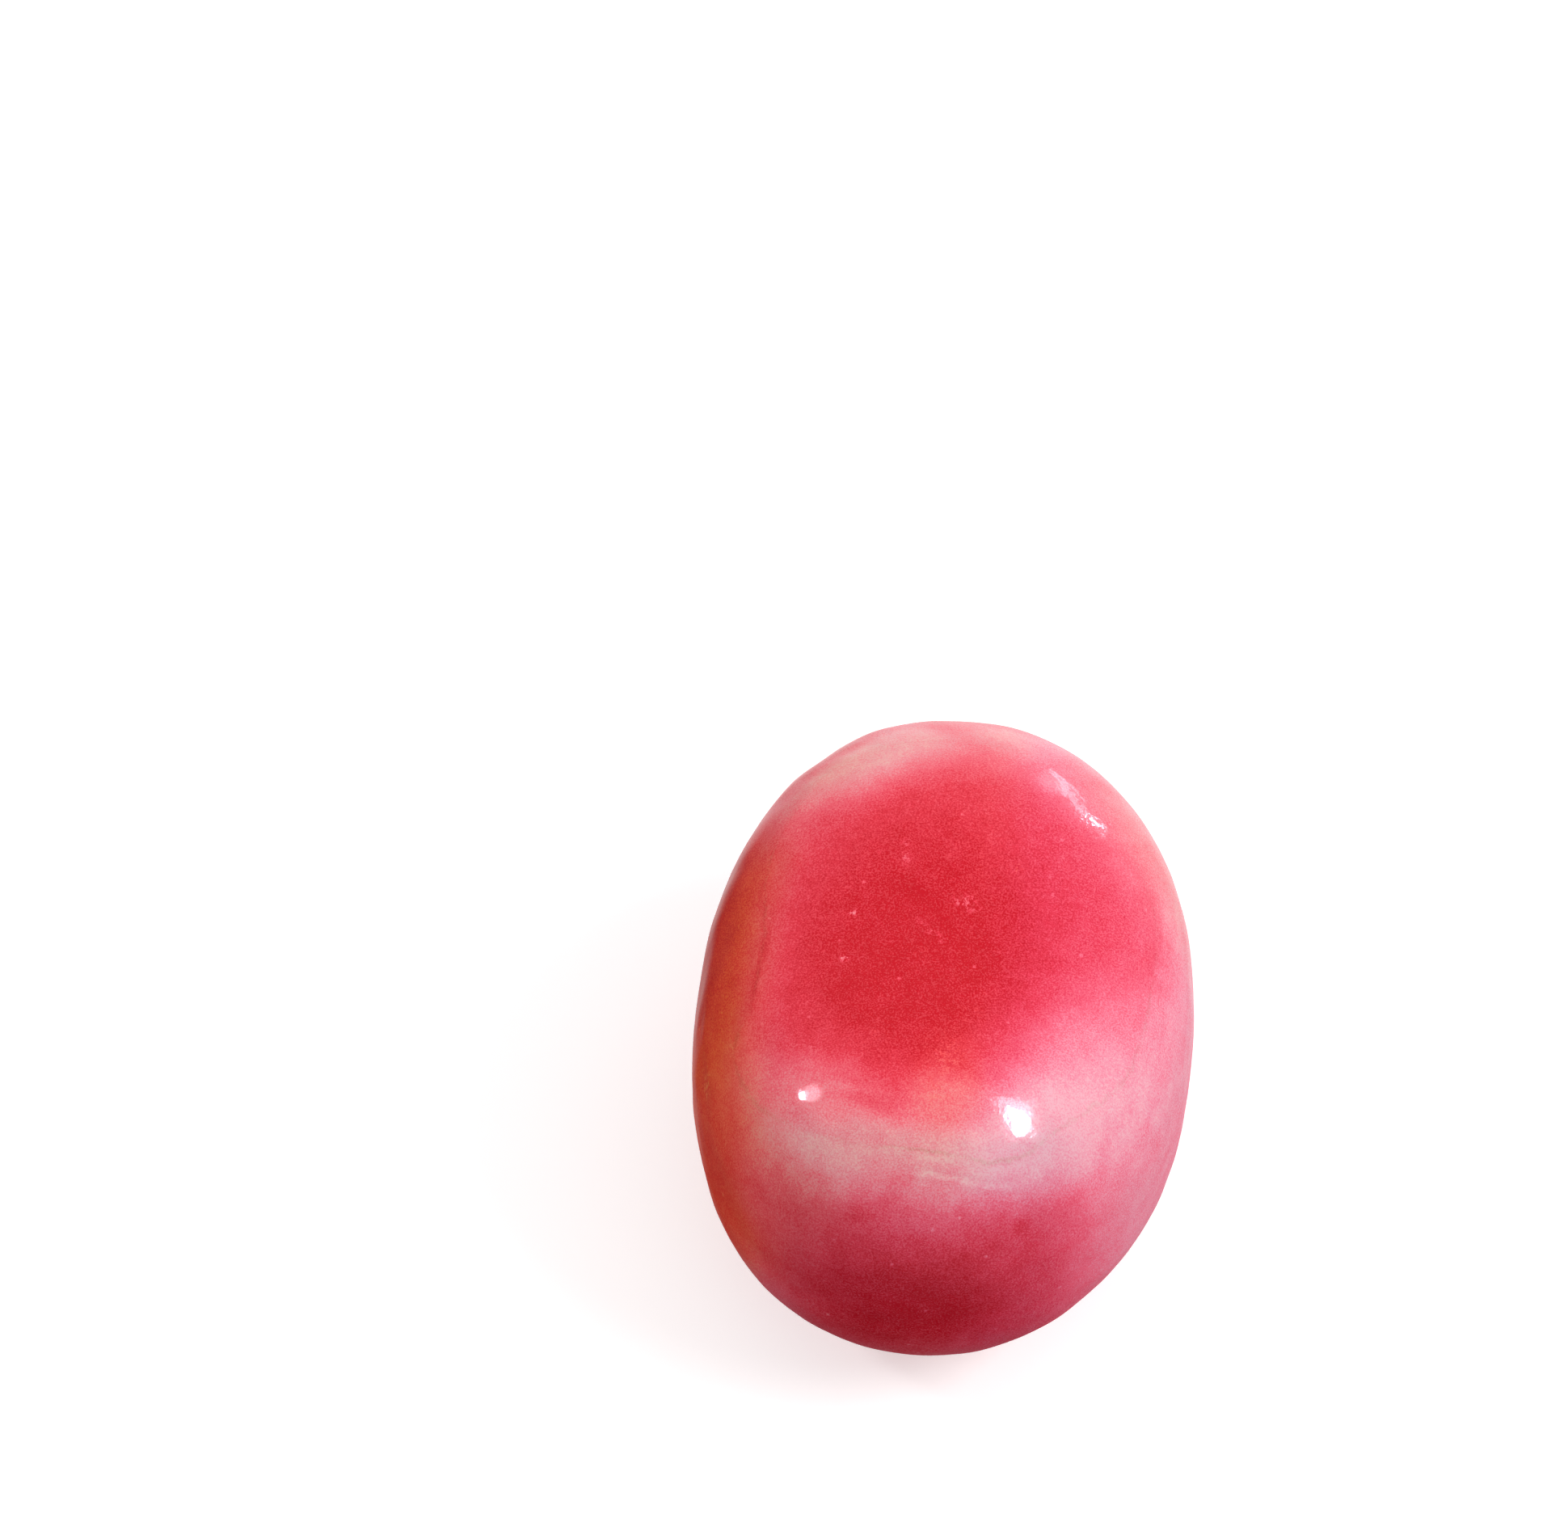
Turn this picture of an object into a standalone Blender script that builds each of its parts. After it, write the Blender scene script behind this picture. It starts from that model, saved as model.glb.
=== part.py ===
"""A loose sweet with a polished sugar shell: one plump, bean-like solid that lies on its rounded belly.

Its length runs along Y and its width along X. The back, which faces up, is pressed in along the
middle, so both ends stand a little proud of it, and it leans slightly to the right and to the far end.
"""

import math

import bmesh
import bpy
from mathutils import Vector

# Driving dimensions, in metres.
WIDTH = 0.0140
LENGTH = 0.0186
THICKNESS = 0.0124

# How full each outline is: 2 is an ellipse, and a larger number fills out the corners.
PLAN_FULLNESS = 2.135
BACK_FULLNESS = 2.59
BELLY_FULLNESS = 2.56

# The near end is a touch wider than the far one, and both ends bend a little to the left.
END_TAPER = 0.019
END_BEND = 0.00012

# The hollow pressed along the back: its depth, its deepest point and how far it reaches from there.
HOLLOW_DEPTH = 0.00067
HOLLOW_X = -0.0003
HOLLOW_Y = -0.0006
HOLLOW_REACH_Y = 0.0058
HOLLOW_HALF_WIDTH = 0.0060

# How far the back leans down, in metres for each metre to the right and to the far end.
LEAN_RIGHT = 0.072
LEAN_FAR = 0.078

# The small flat that the sweet rests on, as the height that is pressed flat at the belly.
REST_FLAT_HEIGHT = 0.00005

# The sphere that the solid is shaped from is a cube with this many cells along each edge.
CELLS = 28

SHELL_COLOUR = (0.72, 0.045, 0.075, 1.0)
SHELL_ROUGHNESS = 0.22


def clear_scene():
    for thing in list(bpy.data.objects):
        bpy.data.objects.remove(thing, do_unlink=True)


def smooth_step(value):
    """0 below 0, 1 above 1, and a smooth rise between them."""
    value = min(max(value, 0.0), 1.0)
    return value * value * (3.0 - 2.0 * value)


def even_direction(cube_point):
    """The direction of a point on a 2 by 2 by 2 cube, spread so that the cells come out alike in size."""
    return Vector([math.tan(math.pi / 4 * coordinate) for coordinate in cube_point]).normalized()


def rounded_body(direction):
    """The point of the plain, undented body in this direction from its middle."""
    half_width, half_length, half_thickness = WIDTH / 2, LENGTH / 2, THICKNESS / 2
    fullness = BACK_FULLNESS if direction.z >= 0.0 else BELLY_FULLNESS
    across = (abs(direction.x) / half_width) ** PLAN_FULLNESS
    along = (abs(direction.y) / half_length) ** PLAN_FULLNESS
    outline = (across + along) ** (fullness / PLAN_FULLNESS)
    height = (abs(direction.z) / half_thickness) ** fullness
    return direction * (outline + height) ** (-1.0 / fullness)


def hollow_share(x, y):
    """How much of the hollow's depth is pressed in here: 1 at its deepest point, 0 outside it."""
    along = (y - HOLLOW_Y) / HOLLOW_REACH_Y
    across = (x - HOLLOW_X) / HOLLOW_HALF_WIDTH
    return max(1.0 - along * along, 0.0) ** 2 / (1.0 + across**4)


def surface_point(direction):
    """The point of the finished sweet in this direction, with its middle at the origin."""
    point = rounded_body(direction)
    end_share = point.y / (LENGTH / 2)
    on_back = smooth_step(point.z / (THICKNESS / 2))
    point.x = point.x * (1.0 - END_TAPER * end_share) - END_BEND * end_share**2
    point.z -= HOLLOW_DEPTH * hollow_share(point.x, point.y) * on_back
    point.z -= (LEAN_RIGHT * point.x + LEAN_FAR * point.y) * on_back
    point.z = max(point.z, REST_FLAT_HEIGHT - THICKNESS / 2)
    return point


def shell_material():
    material = bpy.data.materials.new("sugar_shell")
    material.use_nodes = True
    shader = material.node_tree.nodes["Principled BSDF"]
    shader.inputs["Base Color"].default_value = SHELL_COLOUR
    shader.inputs["Metallic"].default_value = 0.0
    shader.inputs["Roughness"].default_value = SHELL_ROUGHNESS
    return material


def stand_on_origin(sweet_bmesh):
    """Moves the middle of the box round the sweet over the origin, and its underside onto Z = 0."""
    corners = [
        [pick(vertex.co[axis] for vertex in sweet_bmesh.verts) for axis in range(3)] for pick in (min, max)
    ]
    low, high = Vector(corners[0]), Vector(corners[1])
    base_centre = Vector(((low.x + high.x) / 2, (low.y + high.y) / 2, low.z))
    bmesh.ops.translate(sweet_bmesh, verts=sweet_bmesh.verts, vec=-base_centre)


def make_candy():
    sweet = bmesh.new()
    bmesh.ops.create_cube(sweet, size=2.0)
    bmesh.ops.subdivide_edges(sweet, edges=sweet.edges[:], cuts=CELLS - 1, use_grid_fill=True)
    for vertex in sweet.verts:
        vertex.co = surface_point(even_direction(vertex.co))
    stand_on_origin(sweet)
    bmesh.ops.recalc_face_normals(sweet, faces=sweet.faces)
    mesh = bpy.data.meshes.new("candy")
    sweet.to_mesh(mesh)
    sweet.free()
    mesh.shade_smooth()
    mesh.materials.append(shell_material())
    bpy.context.scene.collection.objects.link(bpy.data.objects.new("candy", mesh))


clear_scene()
make_candy()
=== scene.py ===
"""A loose sugar-shelled sweet: its worn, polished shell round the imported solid, on a white table."""

import math

import bpy
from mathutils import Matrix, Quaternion, Vector
from mathutils.kdtree import KDTree


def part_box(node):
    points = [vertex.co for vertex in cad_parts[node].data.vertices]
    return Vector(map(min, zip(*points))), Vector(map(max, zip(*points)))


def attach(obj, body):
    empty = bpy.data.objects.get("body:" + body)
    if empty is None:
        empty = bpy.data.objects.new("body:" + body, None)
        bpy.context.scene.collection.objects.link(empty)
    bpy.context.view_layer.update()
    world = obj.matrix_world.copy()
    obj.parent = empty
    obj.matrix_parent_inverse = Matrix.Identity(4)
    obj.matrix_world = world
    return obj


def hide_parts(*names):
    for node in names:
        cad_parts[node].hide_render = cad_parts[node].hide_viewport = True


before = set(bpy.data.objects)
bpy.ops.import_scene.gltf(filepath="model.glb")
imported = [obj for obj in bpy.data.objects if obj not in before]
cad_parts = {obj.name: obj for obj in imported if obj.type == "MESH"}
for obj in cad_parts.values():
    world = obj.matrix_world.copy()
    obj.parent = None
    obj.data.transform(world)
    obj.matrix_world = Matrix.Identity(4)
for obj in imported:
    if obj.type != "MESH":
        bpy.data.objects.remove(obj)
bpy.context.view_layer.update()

# ---------------------------------------------------------------------------------------------
# The camera. The sweet is seen from above its near end, a little from the right, through a long
# lens, and lies low and to the right in the frame.
MM = 0.001
PICTURE_WIDTH_PX = 1940
PICTURE_HEIGHT_PX = 1904
SWEET_MIDDLE_PX = (1168.5, 1279.0)
PX_PER_MM = 44.0
CAMERA_DISTANCE = 230 * MM
CAMERA_AZIMUTH = math.radians(7.4)
CAMERA_ELEVATION = math.radians(58.0)
SENSOR_WIDTH = 36.0

sweet_low, sweet_high = (Vector(corner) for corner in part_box("candy"))
sweet_middle = (sweet_low + sweet_high) / 2


def add_camera():
    camera_data = bpy.data.cameras.new("camera")
    camera_data.sensor_width = SENSOR_WIDTH
    camera_data.lens = SENSOR_WIDTH * PX_PER_MM * (CAMERA_DISTANCE / MM) / PICTURE_WIDTH_PX
    camera = bpy.data.objects.new("camera", camera_data)
    bpy.context.scene.collection.objects.link(camera)
    camera.rotation_euler = (math.pi / 2 - CAMERA_ELEVATION, 0.0, CAMERA_AZIMUTH)
    right = (SWEET_MIDDLE_PX[0] - PICTURE_WIDTH_PX / 2) / PX_PER_MM * MM
    down = (SWEET_MIDDLE_PX[1] - PICTURE_HEIGHT_PX / 2) / PX_PER_MM * MM
    to_camera = camera.rotation_euler.to_matrix() @ Vector((-right, down, CAMERA_DISTANCE))
    camera.location = sweet_middle + to_camera
    bpy.context.scene.camera = camera


add_camera()

# ---------------------------------------------------------------------------------------------
# The shell: sugar syrup built up in thin coats in a turning pan and polished with wax. It covers
# the whole sweet. Rolling in the pan left it slightly uneven, with a soft lip round the hollow
# of its back, wrinkles where the lip folds over the near end, and a few dents and scuffs.
SHELL_CELLS = 28
SMOOTHING_LEVELS = 2

# The line of the lip round the hollow, seen from above, in millimetres: nearly straight on the
# left, folded over the near end, and rubbed inwards at the near right.
RIM_LINE = (
    (-5.2, 2.3), (-5.05, -0.5), (-5.1, -2.6), (-5.4, -3.9), (-4.7, -5.4), (-3.3, -6.4), (-1.5, -6.85),
    (0.4, -6.85), (1.9, -6.8), (2.8, -6.4), (3.4, -5.75), (4.3, -4.7), (5.3, -3.2), (5.7, -0.5), (5.6, 2.1),
    (4.7, 4.1), (3.0, 6.0), (0.6, 6.9), (-1.8, 6.7), (-3.9, 5.5),
)
RIM_STEPS = 24

# The fold along the lip and the wrinkles beside it, in millimetres: how far the fold reaches to
# either side, where the first wrinkle lies outside it, and how far apart they are.
FOLD_REACH = 0.8
FIRST_WRINKLE = 0.32
WRINKLE_PITCH = 0.27
# How high each of them stands, and how far the pan's unevenness and the coats' fine peel go.
FOLD_HEIGHT = 0.035 * MM
WRINKLE_HEIGHT = 0.012 * MM
UNEVENNESS = 0.16 * MM
UNEVEN_LUMP = 3.5 * MM
PEEL = 0.01 * MM
PEEL_LUMP = 0.6 * MM

# Each shallow dent: its middle, its radius and its depth, in millimetres.
DENTS = (
    ((-6.3, -3.9, 8.5), 0.8, 0.05),
    ((-3.3, -8.1, 5.6), 1.1, 0.05),
    ((6.6, -2.6, 8.0), 0.9, 0.03),
    ((-4.4, 6.9, 8.6), 0.9, 0.05),
    ((3.6, 7.6, 7.2), 1.0, 0.04),
    ((5.9, 4.9, 4.6), 1.2, 0.05),
)
DEEPEST_DENT = 0.1


def deselect_all():
    bpy.ops.object.select_all(action="DESELECT")


def apply_modifier(piece, kind, **settings):
    modifier = piece.modifiers.new(kind.lower(), kind)
    for name, value in settings.items():
        setattr(modifier, name, value)
    bpy.ops.object.modifier_apply(modifier=modifier.name)


def model_shell():
    """A cube, cut finely and blown up to a ball, so that it has no poles, then drawn onto the solid."""
    deselect_all()
    bpy.ops.mesh.primitive_cube_add(size=2.0, location=sweet_middle)
    shell = bpy.context.object
    shell.name = "shell"
    bpy.ops.object.mode_set(mode="EDIT")
    bpy.ops.mesh.subdivide(number_cuts=SHELL_CELLS - 1)
    bpy.ops.transform.tosphere(value=1.0)
    bpy.ops.object.mode_set(mode="OBJECT")
    shell.scale = (sweet_high - sweet_low) / 2 / shell.data.vertices[0].co.length
    bpy.ops.object.transform_apply(location=True, rotation=True, scale=True)
    apply_modifier(
        shell, "SHRINKWRAP", target=bpy.data.objects["candy"], wrap_method="PROJECT",
        use_negative_direction=True, use_positive_direction=True,
    )
    apply_modifier(shell, "SUBSURF", levels=SMOOTHING_LEVELS, render_levels=SMOOTHING_LEVELS)
    bpy.ops.object.shade_smooth()
    return shell


def rim_points():
    """The rim line as a fine closed run of points: a smooth curve through the line's own points."""
    corners = [Vector(corner) for corner in RIM_LINE]
    run = []
    for index, here in enumerate(corners):
        before = corners[index - 1]
        ahead = corners[(index + 1) % len(corners)]
        beyond = corners[(index + 2) % len(corners)]
        for step in range(RIM_STEPS):
            t = step / RIM_STEPS
            bend = (2 * before - 5 * here + 4 * ahead - beyond) * t**2
            turn = (3 * here - before - 3 * ahead + beyond) * t**3
            run.append((2 * here + (ahead - before) * t + bend + turn) / 2)
    return run


def measure_rim(shell):
    """Gives each point of the shell its distance from the rim line in millimetres, less than 0 inside."""
    run = rim_points()
    tree = KDTree(len(run))
    for index, point in enumerate(run):
        tree.insert(point.to_3d(), index)
    tree.balance()
    from_rim = shell.data.attributes.new("from_rim", "FLOAT", "POINT")
    for vertex, value in zip(shell.data.vertices, from_rim.data):
        flat = Vector((vertex.co.x, vertex.co.y, 0.0)) / MM
        nearest, index, distance = tree.find(flat)
        onward = run[(index + 1) % len(run)] - run[index - 1]
        outward = Vector((-onward.y, onward.x)).dot(flat.to_2d() - nearest.to_2d())
        value.value = math.copysign(distance, -outward)


def smooth_step(value, start, end):
    share = min(max((value - start) / (end - start), 0.0), 1.0)
    return share * share * (3.0 - 2.0 * share)


def above_belly(point, from_rim):
    return smooth_step(point.z, 0.2 * MM, 1.5 * MM)


def near_end(point):
    return smooth_step(point.y, -2.0 * MM, -6.0 * MM)


def on_back(point):
    return smooth_step(point.z, 8.3 * MM, 9.6 * MM)


def rim_fold(point, from_rim):
    """A low ridge with a sharp top along the whole rim, highest over the near end."""
    ridge = max(0.0, 1.0 - abs(from_rim) / FOLD_REACH) ** 2
    to_right = smooth_step(point.x, 1.5 * MM, 3.5 * MM)
    return ridge * on_back(point) * (0.55 + 0.45 * near_end(point)) * (1.0 - 0.4 * to_right)


def wrinkles(point, from_rim):
    """Short folds side by side, just outside the lip at the near end."""
    folds = 0.5 + 0.5 * math.cos((from_rim - FIRST_WRINKLE) / WRINKLE_PITCH * 2 * math.pi)
    outward = smooth_step(from_rim, 0.1, 0.3) * smooth_step(from_rim, 1.0, 0.7)
    sideways = smooth_step(point.x, -1.5 * MM, 0.3 * MM) * smooth_step(point.x, 3.8 * MM, 2.4 * MM)
    return folds * outward * sideways * near_end(point) * on_back(point)


def dented(point, from_rim):
    depth = 0.0
    for middle, radius, dent_depth in DENTS:
        distance = (point / MM - Vector(middle)).length / radius
        depth += dent_depth * math.exp(-(distance**2))
    return min(depth / DEEPEST_DENT, 1.0)


def press(shell, name, weight, strength, lump_size=None):
    """Moves the shell's surface along its normals: by strength where the weight function gives 1,
    and with a lump size up and down at random by half of it."""
    group = shell.vertex_groups.new(name=name)
    from_rim = shell.data.attributes["from_rim"].data
    for vertex, distance in zip(shell.data.vertices, from_rim):
        group.add([vertex.index], weight(vertex.co, distance.value), "REPLACE")
    settings = {"vertex_group": name, "strength": strength, "mid_level": 0.0}
    if lump_size:
        lumps = bpy.data.textures.new(name, "CLOUDS")
        lumps.noise_scale = lump_size
        settings.update(texture=lumps, texture_coords="LOCAL", mid_level=0.5)
    apply_modifier(shell, "DISPLACE", **settings)


shell = model_shell()
measure_rim(shell)
press(shell, "uneven", above_belly, UNEVENNESS, lump_size=UNEVEN_LUMP)
press(shell, "peel", above_belly, PEEL, lump_size=PEEL_LUMP)
press(shell, "rim_fold", rim_fold, FOLD_HEIGHT)
press(shell, "wrinkles", wrinkles, WRINKLE_HEIGHT)
press(shell, "dents", dented, -DEEPEST_DENT * MM)

# The dye in the shell, from 0, where it is worn to milky pink, to 1, where it lies deepest.
DYE_COLOURS = (
    (0.00, (0.94, 0.47, 0.55)),
    (0.25, (0.94, 0.27, 0.38)),
    (0.50, (0.935, 0.12, 0.21)),
    (0.75, (0.835, 0.038, 0.086)),
    (1.00, (0.63, 0.003, 0.018)),
)
# What tints it: orange, partly where the dye turned and partly painted warm reflected light; less red
# over the near end's rim, and painted shade along the left rim; olive in the crease.
ORANGE_AND_WARM_LIGHT_TINT = (1.0, 1.1, 0.15)
DULL_AND_SHADE_TINT = (0.88, 0.98, 0.97)
CREASE_TINT = (0.87, 0.93, 0.8)
# The colour of the finest pale grains of sugar, and how much of it the palest take.
MILKY = (0.95, 0.6, 0.65)
MOST_MILKY = 0.03
BASE_DYE = 0.4

# Each patch of dye: its middle and its radii in millimetres, how soft its edge is, how many degrees
# it is turned about the vertical, and its dye. A later patch covers an earlier one.
DYE_PATCHES = (
    ((8.1, -1.5, 7.5), (2.4, 9.6, 4.0), 0.2, -19, 0.28),  # the right flank
    ((-4.2, -4.8, 8.2), (1.9, 4.0, 3.2), 1.0, -14, 0.77),  # the near left shoulder
    # The next two are deep partly as painted shade on the left flank.
    ((-5.9, 0.4, 6.5), (2.1, 4.6, 5.5), 0.5, 12, 1.0),  # the left flank
    ((-5.7, -4.4, 6.2), (1.6, 2.9, 3.4), 0.7, -20, 0.75),  # the same, nearer
    ((0.5, -7.7, 6.6), (4.0, 2.4, 4.3), 0.55, 25, 0.95),  # the near end
    ((-5.0, 6.0, 4.0), (2.4, 2.6, 3.8), 0.9, 40, 0.7),  # the far left flank, low down
    ((0.0, 9.3, 6.0), (5.0, 2.8, 4.4), 0.5, 0, 0.90),  # the far end
    ((0.0, 0.0, 0.0), (5.0, 7.2, 3.0), 0.5, 0, 0.85),  # the belly
    ((0.3, 1.8, 12.0), (7.4, 4.5, 3.5), 0.4, 23, 0.72),  # the hollow
    ((-0.8, -1.0, 12.0), (3.1, 4.3, 3.5), 0.65, -5, 0.98),  # the middle of the hollow
    ((5.1, 1.9, 10.4), (0.9, 2.2, 1.5), 0.6, 6, 0.67),  # the right side of the hollow
)
# The same for what lies over the rubbed band round the hollow. Most of these are worn paler still.
WORN_PATCHES = (
    ((4.2, -2.6, 11.1), (1.0, 0.7, 1.5), 0.9, 20, 0.33),  # the right side of the hollow, nearer
    ((3.5, -5.1, 11.0), (3.7, 1.0, 2.5), 1.0, 40, 0.04),  # the near right shoulder
    ((-2.9, 6.4, 10.8), (2.0, 1.5, 1.6), 0.8, 75, 0.14),  # the far left rim
    ((-4.6, 6.4, 9.4), (1.0, 2.4, 1.0), 0.6, -40, 0.7),  # the far left flank
    ((1.2, 7.6, 9.9), (1.6, 1.1, 0.8), 0.7, -8, 0.1),  # the far rim
    ((4.5, 6.1, 10.0), (4.0, 1.9, 2.0), 1.0, -39, 0.33),  # the far right rim
    ((5.6, 5.2, 8.0), (1.2, 2.6, 2.4), 0.6, 35, 0.3),  # the far right flank
    ((6.5, 2.5, 8.7), (0.7, 2.2, 1.3), 0.6, 12, 0.24),  # the right flank where it turns down
    ((3.7, -5.7, 10.9), (1.8, 0.7, 1.3), 1.0, 28, 0.08),  # the near right end
    ((-3.4, -5.3, 11.6), (1.6, 0.75, 1.0), 0.9, -5, 0.44),  # inside the near left rim
    ((0.6, -5.45, 12.0), (0.9, 0.65, 1.0), 0.9, 0, 0.37),  # the tongue of thin dye
    ((0.9, -9.3, 6.8), (1.5, 0.8, 1.2), 0.8, 0, 0.98),  # the tip of the near end
    ((0.6, -8.6, 3.2), (4.5, 2.2, 1.5), 0.5, 0, 0.7),  # the same, low down
    ((-4.1, -7.6, 8.3), (1.4, 0.7, 0.9), 0.9, -42, 0.6),  # the near left end
)
# Where the skin just outside the fold is rubbed: the middle and the radii of each spot, and how much.
RUBBED_PAST_FOLD = (
    ((-2.1, -6.8, 11.0), (1.8, 1.6, 2.0), 0.35),
    ((6.2, 2.0, 10.0), (1.4, 3.2, 3.0), 0.12),
)
# The patches of orange, in the same form as the dye's: partly orange dye and partly painted warm reflected
# light.
ORANGE_AND_WARM_LIGHT_PATCHES = (
    # The next two are partly painted warm reflected light on the left flank.
    ((-4.9, -5.6, 7.6), (2.1, 3.4, 2.6), 0.7, -25, 0.82),  # the near left flank
    ((-3.0, -8.0, 9.0), (2.2, 1.2, 1.6), 0.7, -35, 0.35),  # the near left end
    ((-4.5, 5.8, 9.7), (1.5, 2.4, 1.8), 0.7, 0, 0.3),  # the far left rim
    ((0.5, -9.0, 8.5), (3.1, 2.5, 2.5), 0.6, 0, 0.02),  # the near end
    ((0.5, -4.6, 12.0), (0.9, 1.5, 2.0), 0.5, 0, 0.3),  # the tongue of thin dye
    # Painted warm reflection on the far right rim.
    ((5.2, 5.0, 8.5), (1.6, 3.2, 3.0), 0.8, 35, 0.2),  # the far right rim
)
# Painted shade along the left rim, nearly as strong as the dulling over the near end, in the same form.
PAINTED_SHADE_LEFT_RIM = ((-5.7, -0.6, 10.2), (1.1, 3.6, 2.2), 0.6, -3, 0.8)
# Scuffs: the middle and the radii of each, how many degrees it is turned, and how plain it shows.
SCUFFS = (
    ((-1.45, 2.3, 11.8), (0.16, 0.36, 1.0), 10, 0.5),
    ((0.42, 1.0, 11.7), (0.36, 0.24, 1.0), -30, 0.55),
    ((-0.3, -0.2, 11.7), (0.7, 0.12, 1.0), -35, 0.3),
    ((-2.64, 0.25, 11.7), (0.12, 0.12, 1.0), 0, 0.7),
    ((-2.7, -1.2, 11.7), (0.12, 0.12, 1.0), 0, 0.7),
    ((-6.2, -4.1, 8.8), (0.4, 0.3, 0.5), 0, 0.5),
)
# Flecks where the dye dried orange: the middle and the radii of each, and how plain it shows.
FLECKS = (
    ((1.58, 2.4, 11.6), (0.2, 0.14, 1.0), 0.9),
    ((0.5, -4.1, 12.0), (0.4, 0.55, 1.0), 0.7),
    ((0.3, -5.2, 12.0), (0.3, 0.5, 1.0), 0.4),
    ((-1.6, -3.7, 11.9), (0.2, 0.25, 1.0), 0.3),
    ((1.0, -2.6, 11.7), (0.4, 0.3, 1.0), 0.3),
    ((-0.7, -0.8, 11.8), (0.35, 0.35, 1.0), 0.25),
)
# Thin folds and small stains in the dye, most of them along the rim: the middle and the radii of
# each, how many degrees it is turned, and how much dye it has gained or lost.
FOLDS = (
    ((-1.65, -5.75, 12.0), (0.8, 0.13, 1.5), -10, 0.06),
    ((-0.85, -6.1, 12.0), (0.55, 0.15, 1.5), -27, 0.05),
    ((-1.9, -5.4, 12.0), (0.9, 0.12, 1.5), -5, -0.09),
    ((-2.6, -5.75, 11.7), (0.7, 0.4, 1.5), 0, -0.1),
    ((-5.0, -1.0, 11.0), (0.11, 1.0, 1.5), -4, 0.1),
    ((-5.1, -2.2, 11.0), (0.11, 0.6, 1.5), 4, 0.1),
    ((-0.35, -7.5, 11.0), (0.35, 0.3, 1.0), 0, 0.12),
    ((0.84, -7.34, 11.0), (0.35, 0.3, 1.0), 0, 0.12),
    ((5.0, -5.2, 10.0), (0.12, 0.7, 1.5), 0, 0.07),
    ((3.0, -7.75, 9.5), (0.26, 0.26, 0.4), 0, 0.14),
    ((2.3, 5.7, 10.7), (0.4, 0.4, 0.6), 0, -0.2),
)
# How far outside the middle of the fold its two pale wrinkle lines run, in millimetres.
WRINKLE_LINES = (0.15, 0.5)
# Crinkled spots in the polish: the middle and the radii of each, and how crinkled it is.
CRINKLED = (
    ((1.8, -5.1, 12.0), (0.7, 0.7, 1.5), 0.16),
    ((2.9, 5.2, 11.0), (1.3, 2.0, 1.5), 0.14),
)
BASE_CRINKLE = 0.06
CREASE_DEPTH = 0.2
SKIN_BUMP = 0.02 * MM
POLISH_BUMP = 0.045 * MM

sugar_shell = bpy.data.materials.new("sugar_shell")
sugar_shell.use_nodes = True
shell_tree = sugar_shell.node_tree
shell_shader = shell_tree.nodes["Principled BSDF"]


def node(kind, sockets=None, output=0, **settings):
    """One node: its settings, then each named or numbered socket given a value or a link."""
    made = shell_tree.nodes.new("ShaderNode" + kind)
    for name, value in settings.items():
        setattr(made, name, value)
    for name, value in (sockets or {}).items():
        if isinstance(value, bpy.types.NodeSocket):
            shell_tree.links.new(value, made.inputs[name])
        else:
            made.inputs[name].default_value = value
    return made.outputs[output]


def vector(operation, first, second):
    return node("VectorMath", {0: first, 1: second}, operation=operation)


def length(place):
    return node("VectorMath", {0: place}, 1, operation="LENGTH")


def number(operation, first, second=0.0, clamp=False):
    return node("Math", {0: first, 1: second}, operation=operation, use_clamp=clamp)


def product(first, *others):
    for other in others:
        first = number("MULTIPLY", first, other)
    return first


def fade(value, start, end, at_start=0.0, at_end=1.0):
    sockets = {0: value, 1: start, 2: end, 3: at_start, 4: at_end}
    return node("MapRange", sockets, interpolation_type="SMOOTHSTEP")


def mix(share, first, second):
    return node("MapRange", {0: share, 1: 0.0, 2: 1.0, 3: first, 4: second})


def tint(share, colour, tint_colour, blend="MULTIPLY"):
    return node("MixRGB", {0: share, 1: colour, 2: (*tint_colour, 1.0)}, blend_type=blend)


def noise(place, scale, detail=2.0, roughness=0.5, output=0):
    sockets = {"Vector": place, "Scale": scale, "Detail": detail, "Roughness": roughness}
    return node("TexNoise", sockets, output)


def about_zero(value, reach):
    """A noise made to wander by up to about half the reach either side of 0."""
    return product(number("SUBTRACT", value, 0.5), reach)


def stray(place, scale, reach, detail=2.0):
    """The place, shifted by up to about half the reach in every direction."""
    shift = vector("SUBTRACT", noise(place, scale, detail, output=1), (0.5, 0.5, 0.5))
    return vector("ADD", place, vector("MULTIPLY", shift, (reach, reach, reach)))


def patch(place, middle, radii, softness, turn=0):
    """An oval patch: 1 well inside it and 0 outside."""
    from_middle = vector("SUBTRACT", place, middle)
    sockets = {"Vector": from_middle, "Angle": -math.radians(turn)}
    turned = node("VectorRotate", sockets, rotation_type="Z_AXIS")
    return fade(length(vector("DIVIDE", turned, radii)), 1.0 + softness, 1.0 - softness)


def apart(place):
    return node("SeparateXYZ", {0: place}).node.outputs


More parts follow.
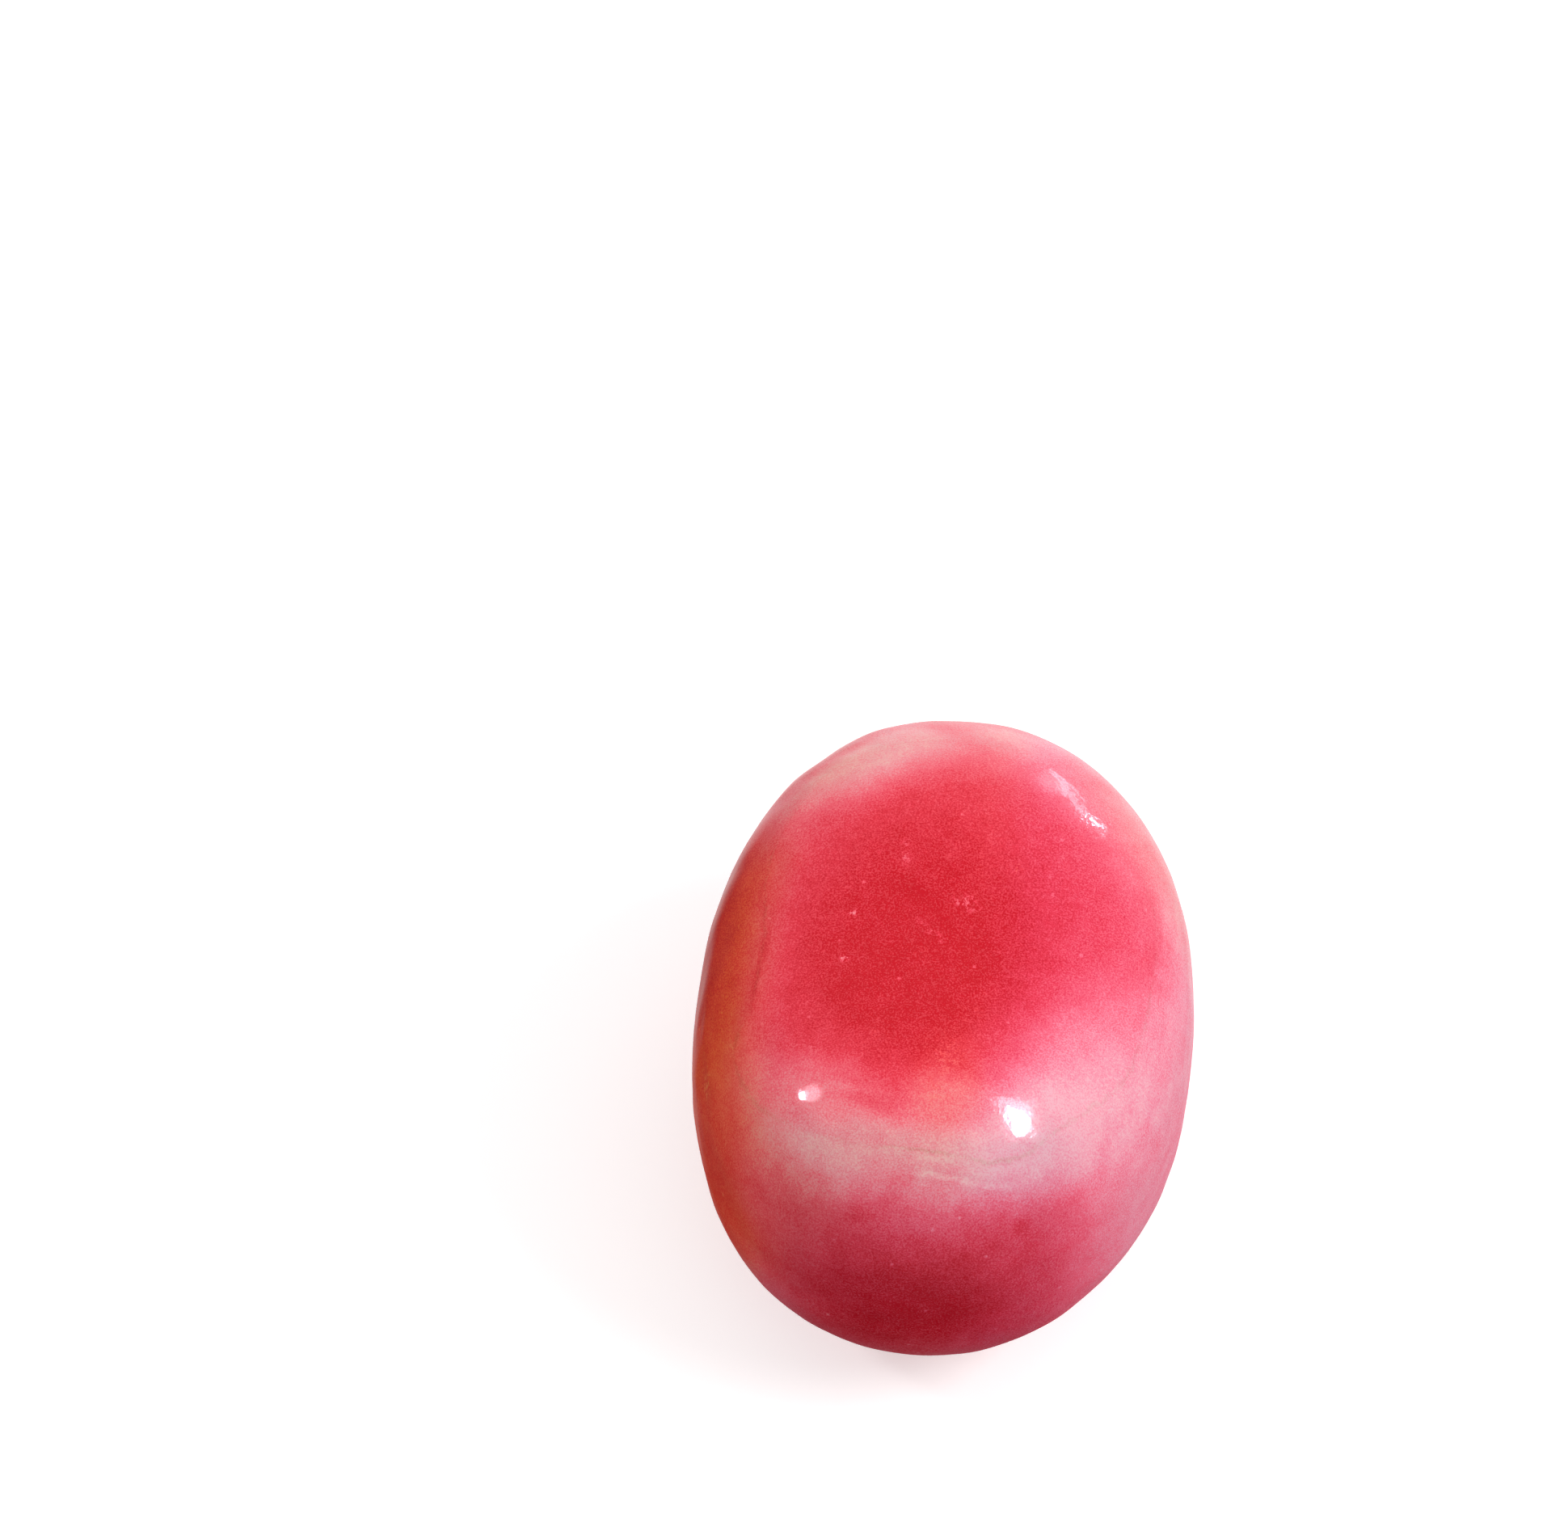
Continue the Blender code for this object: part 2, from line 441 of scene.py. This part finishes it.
# The place on the shell in millimetres, with large patches' edges frayed and small ones' torn, and
# the distance from the rim, wavy for broad bands and shaken for fine lines.
place = node("Mapping", {"Vector": node("TexCoord", output=3), "Scale": (1 / MM,) * 3})
frayed = stray(stray(place, scale=0.35, reach=0.8), scale=1.6, reach=0.25, detail=3.0)
torn = stray(place, scale=3.5, reach=0.3)
x, y, z = apart(place)
upper = fade(z, 7.0, 9.0)
from_rim = node("Attribute", output=2, attribute_name="from_rim")
wavy_rim = number("ADD", from_rim, about_zero(noise(place, scale=0.7, detail=4.0), 0.9))
shaken_rim = number("ADD", from_rim, about_zero(noise(place, scale=2.5, detail=3.0), 0.25))
broken = fade(noise(place, scale=1.5, detail=3.0), 0.35, 0.6, 0.25, 1.0)
flaked = fade(noise(place, scale=6.0, detail=3.0, roughness=0.7), 0.47, 0.6)
finest = noise(place, scale=21.0, detail=1.0)


def lay(level, patches):
    """Patches laid over a level of dye or of orange, each covering what is under it."""
    for middle, radii, softness, turn, patch_level in patches:
        level = mix(patch(frayed, middle, radii, softness, turn), level, patch_level)
    return level


def rub_ends(dye):
    """The wide pale band where the rim is rubbed over both ends, and much fainter along the sides."""
    near = product(fade(y, -3.0, -6.0), fade(x, -5.9, -3.8, 0.1, 1.0))
    far = product(fade(y, 3.0, 6.0), fade(x, 0.5, -2.0))
    band = product(fade(wavy_rim, -1.2, -0.3), fade(wavy_rim, 1.5, 0.0), upper)
    return mix(product(band, mix(number("ADD", near, far), 0.1, 0.55)), dye, 0.0)


def rub_past_fold(dye):
    past_fold = product(fade(shaken_rim, -0.06, 0.06), fade(wavy_rim, 1.4, 0.2), upper)
    for middle, radii, strength in RUBBED_PAST_FOLD:
        dye = mix(product(past_fold, patch(place, middle, radii, 0.6), strength), dye, 0.0)
    return dye


def crease_line():
    """The crease on top of the fold: faint at the far end and the near left, less plain on the right."""
    line = fade(number("ABSOLUTE", shaken_rim), 0.09, 0.01)
    along = product(fade(y, 5.0, 1.0, 0.15, 0.8), fade(x, 2.0, 4.0, 1.0, 0.6))
    near_left = mix(patch(place, (-2.6, -6.6, 11.0), (1.9, 1.2, 2.0), 0.5), 1.0, 0.25)
    return product(line, along, near_left, broken, upper)


def line_wrinkles(dye):
    """Pale lines along the wrinkles next to the crease at the near end."""
    sideways = product(fade(x, -0.6, 0.8, 0.0, 0.7), fade(x, 3.2, 2.4))
    wrinkled = product(sideways, fade(y, -5.0, -6.0), upper)
    for offset in WRINKLE_LINES:
        away = number("ABSOLUTE", number("SUBTRACT", shaken_rim, offset))
        dye = mix(product(fade(away, 0.1, 0.02), wrinkled, broken), dye, 0.0)
    return dye


def scuff(dye):
    """Pale scuffs, and pale specks all over."""
    for middle, radii, turn, strength in SCUFFS:
        dye = mix(product(patch(torn, middle, radii, 0.6, turn), flaked, strength), dye, 0.1)
    cells = node("TexVoronoi", {"Vector": place, "Scale": 2.0})
    picked = node("TexWhiteNoise", {"Vector": cells.node.outputs["Position"]})
    return mix(product(fade(cells, 0.17, 0.05), fade(picked, 0.6, 1.0, 0.0, 0.45)), dye, 0.1)


def crumple(dye):
    """The thin folds of dye, and faint streaks along the right flank."""
    for middle, radii, turn, gain in FOLDS:
        dye = number("ADD", dye, product(patch(torn, middle, radii, 0.7, turn), gain))
    drawn_out = node("Mapping", {"Vector": place, "Scale": (3.5, 0.35, 1.6)})
    streaks = about_zero(noise(drawn_out, scale=1.0, detail=3.0, roughness=0.6), 0.3)
    right_flank = patch(place, (6.6, -0.5, 8.5), (1.6, 5.5, 3.5), 0.5)
    return number("ADD", dye, product(streaks, right_flank))


def orange_flecks():
    flecked = 0.0
    for middle, radii, strength in FLECKS:
        flecked = mix(patch(torn, middle, radii, 0.6), flecked, strength)
    return product(flecked, flaked)


def mottle(dye):
    cloudy = about_zero(noise(place, scale=1.4, detail=4.0, roughness=0.65), 0.3)
    return number("ADD", number("ADD", dye, cloudy), about_zero(finest, 0.6), clamp=True)


def dye_colour(dye):
    ramp = shell_tree.nodes.new("ShaderNodeValToRGB")
    stops = ramp.color_ramp.elements
    while len(stops) < len(DYE_COLOURS):
        stops.new(0.5)
    for stop, (level, colour) in zip(stops, DYE_COLOURS):
        stop.position = level
        stop.color = (*colour, 1.0)
    shell_tree.links.new(dye, ramp.inputs["Fac"])
    return ramp.outputs["Color"]


def orange_and_warm_light(flecked):
    """How orange the shell is: most on the left flank, a little in the left half, and in the flecks. On the
    left flank it is partly painted warm reflected light as well as orange dye.
    """
    frayed_x, frayed_y = apart(frayed)[:2]
    flank = number("ADD", fade(frayed_x, -4.0, -5.8, 0.0, 0.6), fade(frayed_x, -5.0, -6.2, 0.0, 0.35))
    flank = product(flank, fade(frayed_y, 6.0, 0.0, 0.1, 0.9))
    orange = number("ADD", flank, fade(frayed_x, 2.5, 0.5, 0.0, 0.2))
    return mix(flecked, lay(orange, ORANGE_AND_WARM_LIGHT_PATCHES), 0.5)


def dulled_and_shaded():
    """How much red is taken out: over the near end's rim, and along the left rim as painted shade."""
    near = product(fade(wavy_rim, -0.8, -0.1), fade(y, -4.6, -6.0))
    return lay(product(near, fade(x, -4.6, -2.8), fade(x, 5.0, 3.2)), [PAINTED_SHADE_LEFT_RIM])


def bump_polish(crease):
    """Fine unevenness, stronger in the polish on top, which breaks up the lamps' reflections."""
    crinkled = BASE_CRINKLE
    for middle, radii, strength in CRINKLED:
        crinkled = mix(patch(place, middle, radii, 0.5), crinkled, strength)
    height = product(noise(place, scale=6.5, detail=1.5), crinkled)
    height = number("SUBTRACT", height, product(crease, CREASE_DEPTH))
    for socket, distance in (("Normal", SKIN_BUMP), ("Coat Normal", POLISH_BUMP)):
        bump = node("Bump", {"Strength": 1.0, "Distance": distance, "Height": height})
        shell_tree.links.new(bump, shell_shader.inputs[socket])


def finish_shell():
    crease = crease_line()
    flecked = orange_flecks()
    dye = lay(rub_ends(lay(BASE_DYE, DYE_PATCHES)), WORN_PATCHES)
    dye = crumple(scuff(line_wrinkles(rub_past_fold(dye))))
    dye = mottle(mix(product(flecked, 0.6), dye, 0.4))

    colour = tint(fade(finest, 0.55, 0.35, 0.0, MOST_MILKY), dye_colour(dye), MILKY, blend="MIX")
    # Orange, partly painted warm reflected light.
    colour = tint(orange_and_warm_light(flecked), colour, ORANGE_AND_WARM_LIGHT_TINT)
    # Less red over the near end's rim, and painted shade along the left rim.
    colour = tint(dulled_and_shaded(), colour, DULL_AND_SHADE_TINT)
    colour = tint(crease, colour, CREASE_TINT)
    shell_tree.links.new(colour, shell_shader.inputs["Base Color"])

    # The sugar is matt under its polish, and the polish is thinner down the sides.
    bump_polish(crease)
    matt = fade(noise(place, scale=1.1, detail=4.0), 0.3, 0.7, 0.34, 0.46)
    shell_tree.links.new(matt, shell_shader.inputs["Roughness"])
    shell_tree.links.new(fade(z, 5.5, 9.5, 0.15, 0.55), shell_shader.inputs["Coat Weight"])
    shell_shader.inputs["Specular IOR Level"].default_value = 0.0
    shell_shader.inputs["Coat IOR"].default_value = 1.45
    shell_shader.inputs["Coat Roughness"].default_value = 0.09
    shell_shader.inputs["Subsurface Weight"].default_value = 0.15
    shell_shader.inputs["Subsurface Radius"].default_value = (1.0, 0.35, 0.3)
    shell_shader.inputs["Subsurface Scale"].default_value = 0.5 * MM


finish_shell()
shell.data.materials.append(sugar_shell)
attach(shell, "root")
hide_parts("candy")

# ---------------------------------------------------------------------------------------------
# The table: a plain white sheet, larger than any view of the sweet. It glows a little, like a
# light box, so it stays white under the sweet's faint shadow, and the room below it shows in
# the shell as what a white sheet throws back.
TABLE_RADIUS = 1.5
TABLE_CORNERS = 96
TABLE_GLOW = 0.42


def add_table():
    deselect_all()
    bpy.ops.mesh.primitive_circle_add(vertices=TABLE_CORNERS, radius=TABLE_RADIUS, fill_type="NGON")
    table = bpy.context.object
    table.name = "table"
    material = bpy.data.materials.new("white_table")
    material.use_nodes = True
    shader = material.node_tree.nodes["Principled BSDF"]
    shader.inputs["Base Color"].default_value = (0.9, 0.9, 0.9, 1)
    shader.inputs["Roughness"].default_value = 0.9
    shader.inputs["Specular IOR Level"].default_value = 0.0
    shader.inputs["Emission Color"].default_value = (1, 1, 1, 1)
    shader.inputs["Emission Strength"].default_value = TABLE_GLOW
    table.data.materials.append(material)
    table.visible_diffuse = False
    table.visible_glossy = False
    table.visible_shadow = False


add_table()

# ---------------------------------------------------------------------------------------------
# The light: two lamps above the sweet, one on each side, and a faint one far behind it, in a pale
# room that is brighter high up and has white cards, the brightest of them low behind the sweet.
# The lamps that light the shell are set apart from those that show in its polish as glints.
LAMP_DISTANCE = 0.35
GLINT_COLOUR = (0.93, 0.88, 1.0)
# Each lamp that lights the shell: its azimuth, counted from the camera's to the right, and its
# elevation in degrees, its width and height in metres, and its power in watts.
SHELL_LAMPS = {
    "left_lamp": (-93, 47, (0.05, 0.05), 0.18),
    "right_lamp": (80, 49, (0.19, 0.075), 0.5),
}
# The same for each glint and the dim halo or streak beside it, and how many degrees it is tilted.
GLINT_LAMPS = {
    "left_glint": (-95, 44, (0.036, 0.036), 0.9, 0),
    "left_halo": (-96, 51, (0.075, 0.09), 0.25, 0),
    "right_glint": (79, 51, (0.13, 0.055), 3.0, 20),
    "right_halo": (95, 54, (0.13, 0.08), 0.5, 20),
    "far_glint": (144.8, 7.2, (0.04, 0.035), 0.12, 0),
    "far_streak": (152, 3, (0.12, 0.02), 0.05, -40),
}
# How bright the room is, from straight down, at -1, to straight up, at 1.
ROOM_LEVELS = ((-1.0, 0.1), (-0.7, 0.1), (-0.34, 0.3), (0.0, 0.4), (0.5, 0.53), (1.0, 0.58))
# Each card: its azimuth, its elevation, how far it spreads, in degrees, and its brightness.
CARDS = ((133, -19, 76, 0.54), (178, -40, 34, 0.8), (25, -12, 80, 0.14), (-170, 15, 60, 0.16))
BACKDROP_COLOUR = (0.97, 0.97, 0.97, 1.0)


def towards(azimuth, elevation):
    """The direction that an azimuth and an elevation in degrees give."""
    azimuth, elevation = math.radians(azimuth) + CAMERA_AZIMUTH, math.radians(elevation)
    level = math.cos(elevation)
    return Vector((math.sin(azimuth) * level, -math.cos(azimuth) * level, math.sin(elevation)))


def add_lamp(name, azimuth, elevation, size, power, tilt=0):
    """An oval lamp that faces the sweet, out of the camera's sight."""
    lamp_data = bpy.data.lights.new(name, "AREA")
    lamp_data.shape = "ELLIPSE"
    lamp_data.size, lamp_data.size_y = size
    lamp_data.energy = power
    lamp = bpy.data.objects.new(name, lamp_data)
    bpy.context.scene.collection.objects.link(lamp)
    direction = towards(azimuth, elevation)
    upright = direction.to_track_quat("Z", "Y")
    lamp.rotation_euler = (upright @ Quaternion((0, 0, 1), math.radians(tilt))).to_euler()
    lamp.location = sweet_middle + direction * LAMP_DISTANCE
    lamp.visible_camera = False
    return lamp


def room_levels(tree, direction):
    """The room's brightness by height."""
    split = tree.nodes.new("ShaderNodeSeparateXYZ")
    tree.links.new(direction, split.inputs["Vector"])
    height = tree.nodes.new("ShaderNodeMapRange")
    height.inputs["From Min"].default_value = -1.0
    tree.links.new(split.outputs["Z"], height.inputs["Value"])
    walls = tree.nodes.new("ShaderNodeValToRGB")
    stops = walls.color_ramp.elements
    while len(stops) < len(ROOM_LEVELS):
        stops.new(0.5)
    for stop, (up, level) in zip(stops, ROOM_LEVELS):
        stop.position = (up + 1) / 2
        stop.color = (level, level, level, 1.0)
    tree.links.new(height.outputs["Result"], walls.inputs["Fac"])
    return walls.outputs["Color"]


def add_card(tree, direction, total, azimuth, elevation, spread, level):
    facing = tree.nodes.new("ShaderNodeVectorMath")
    facing.operation = "DOT_PRODUCT"
    tree.links.new(direction, facing.inputs[0])
    facing.inputs[1].default_value = towards(azimuth, elevation)
    card = tree.nodes.new("ShaderNodeMapRange")
    card.interpolation_type = "SMOOTHSTEP"
    card.inputs["From Min"].default_value = math.cos(math.radians(spread))
    card.inputs["To Max"].default_value = level
    tree.links.new(facing.outputs["Value"], card.inputs["Value"])
    together = tree.nodes.new("ShaderNodeMath")
    tree.links.new(total, together.inputs[0])
    tree.links.new(card.outputs["Result"], together.inputs[1])
    return together.outputs["Value"]


def light_room():
    world = bpy.data.worlds.new("room")
    world.use_nodes = True
    tree = world.node_tree
    room = tree.nodes["Background"]
    direction = tree.nodes.new("ShaderNodeTexCoord").outputs["Generated"]
    total = room_levels(tree, direction)
    for card in CARDS:
        total = add_card(tree, direction, total, *card)
    tree.links.new(total, room.inputs["Color"])

    # Seen directly, past the table's edge, the room is plain and pale.
    seen = tree.nodes.new("ShaderNodeLightPath").outputs["Is Camera Ray"]
    backdrop = tree.nodes.new("ShaderNodeBackground")
    backdrop.inputs["Color"].default_value = BACKDROP_COLOUR
    either = tree.nodes.new("ShaderNodeMixShader")
    tree.links.new(seen, either.inputs["Fac"])
    tree.links.new(room.outputs["Background"], either.inputs[1])
    tree.links.new(backdrop.outputs["Background"], either.inputs[2])
    tree.links.new(either.outputs["Shader"], tree.nodes["World Output"].inputs["Surface"])
    bpy.context.scene.world = world


for name, placing in SHELL_LAMPS.items():
    add_lamp(name, *placing).visible_glossy = False
for name, placing in GLINT_LAMPS.items():
    glint = add_lamp(name, *placing)
    glint.visible_diffuse = False
    glint.data.color = GLINT_COLOUR
light_room()
bpy.context.scene.view_settings.view_transform = "Standard"
